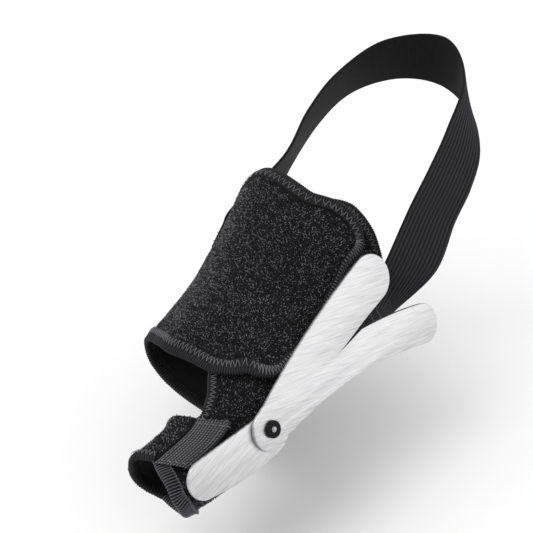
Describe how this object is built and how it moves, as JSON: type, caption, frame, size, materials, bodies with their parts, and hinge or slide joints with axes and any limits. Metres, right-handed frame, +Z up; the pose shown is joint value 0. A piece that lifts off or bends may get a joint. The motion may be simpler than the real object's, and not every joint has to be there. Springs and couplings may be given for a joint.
{
  "type": "bunion corrector worn round the ball of a right foot",
  "caption": "Cloth bunion corrector: plush wrap round the forefoot, big-toe sleeve, elastic heel strap and a pivoted pair of aluminium splints on the inner side.",
  "frame": {"origin": "middle of the hollow that the foot fills, 30 mm above the sole", "axes": "+Z up from the sole, -X towards the toes, -Y towards the inner side of the foot"},
  "size_m": [0.2076, 0.1009, 0.1126],
  "materials": {
    "black_plush": "loop pile",
    "black_ribbon": "fine ribbed binding",
    "black_hook_tape": "woven hook tape",
    "black_elastic": "ribbed elastic webbing",
    "brushed_aluminium": "brushed",
    "black_washer": "satin"
  },
  "bodies": {
    "wrap": {"medial_panel": "black_plush", "wrap_flap": "black_plush", "toe_strap": "black_plush", "flap_rear_band": "black_ribbon", "flap_front_band": "black_ribbon", "flap_end_band": "black_ribbon", "panel_rear_band": "black_ribbon", "panel_web_band": "black_ribbon", "toe_cuff_band": "black_ribbon", "toe_strap_band": "black_ribbon", "hook_tape": "black_hook_tape", "heel_strap": "black_elastic", "toe_splint": "brushed_aluminium", "rivet": "brushed_aluminium", "rivet_washer": "black_washer"},
    "fork": {"fork_splint": "brushed_aluminium"}
  },
  "joints": [
    {"name": "splint_pivot", "type": "hinge", "parent": "wrap", "child": "fork", "pos_m": [-0.0571, -0.0497, -0.0026], "axis": [0, -0.866, 0.5], "range_deg": [-35, 40]}
  ]
}
